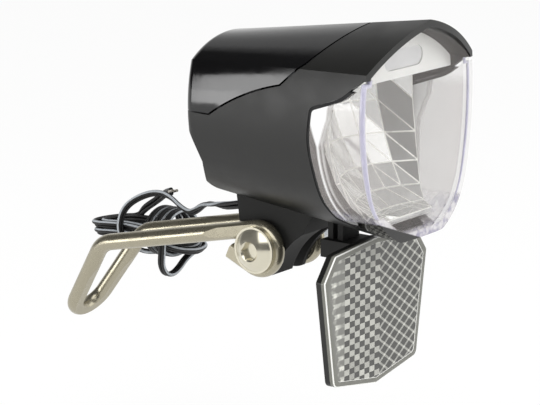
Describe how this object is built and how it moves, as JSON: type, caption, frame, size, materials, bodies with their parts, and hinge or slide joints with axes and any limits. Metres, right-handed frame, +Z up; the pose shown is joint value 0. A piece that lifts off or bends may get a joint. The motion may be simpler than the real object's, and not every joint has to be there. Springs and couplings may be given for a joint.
{
  "type": "dynamo bicycle headlight",
  "caption": "Bicycle dynamo headlight: tilting lamp head with a clear front and facet reflector, bent wire fork bracket, clip-on retroreflector and bundled twin cable.",
  "frame": {"origin": "middle of the rounded end of the bracket's loop, where the fork bolt passes", "axes": "-Y is the way the light shines, +Y points back along the bracket, +X is the nut's side of the pivot bolt, +Z is up"},
  "size_m": [0.0607, 0.1371, 0.1058],
  "materials": {
    "bracket_wire": "satin nickel plate over drawn steel wire",
    "bolt_steel": "bright polished stainless steel",
    "zinc_steel": "bright zinc plate",
    "nylon": "natural nylon",
    "housing_plastic": "moulded black plastic, satin",
    "cover_plastic": "moulded black plastic, high gloss",
    "clear_plastic": "clear polycarbonate, polished",
    "rubber": "black rubber, matt",
    "mirror_coating": "vacuum coated mirror on moulded plastic",
    "light_plastic": "light grey plastic, satin",
    "guide_plastic": "clear moulded light guide",
    "heat_sink_metal": "die cast, plain",
    "led_resin": "yellow phosphor under clear resin",
    "circuit_board": "green solder mask",
    "component_sleeve": "shrink sleeve, dark blue",
    "component_black": "moulded epoxy, matt",
    "terminal_green": "moulded nylon, matt",
    "cable_jacket": "black soft plastic jacket with a light grey stripe",
    "tinned_copper": "tinned copper strands, dull",
    "retro_plastic": "clear moulded prisms, polished front"
  },
  "bodies": {
    "bracket": {"wire_bracket": "bracket_wire", "pivot_bolt": "bolt_steel", "pivot_washer": "zinc_steel", "lock_nut": "zinc_steel", "lock_nut_ring": "nylon", "cable_lead": "cable_jacket", "cable_hank": "cable_jacket", "cable_ends": "tinned_copper"},
    "lamp": {"housing": "housing_plastic", "top_cover": "cover_plastic", "cover_screw": "zinc_steel", "lens": "clear_plastic", "lens_seal": "rubber", "reflector": "mirror_coating", "fascia": "light_plastic", "light_guide": "guide_plastic", "heat_sink": "heat_sink_metal", "led_board": "heat_sink_metal", "led": "led_resin", "led_leads": "cable_jacket", "driver_board": "circuit_board", "board_screws": "zinc_steel", "standlight_capacitor": "component_sleeve", "filter_capacitor": "component_sleeve", "choke": "component_black", "rectifier": "component_black", "controller_chip": "component_black", "cable_terminal": "terminal_green", "cable_inner": "cable_jacket", "cable_gland": "rubber", "pivot_sleeve": "zinc_steel", "retro_lens": "retro_plastic", "retro_holder": "housing_plastic"}
  },
  "joints": [
    {"name": "lamp_tilt", "type": "hinge", "parent": "bracket", "child": "lamp", "pos_m": [0, -0.07294, 0.02663], "axis": [1, 0, 0], "range_deg": [-25, 45], "deforming": ["cable_lead"]}
  ]
}
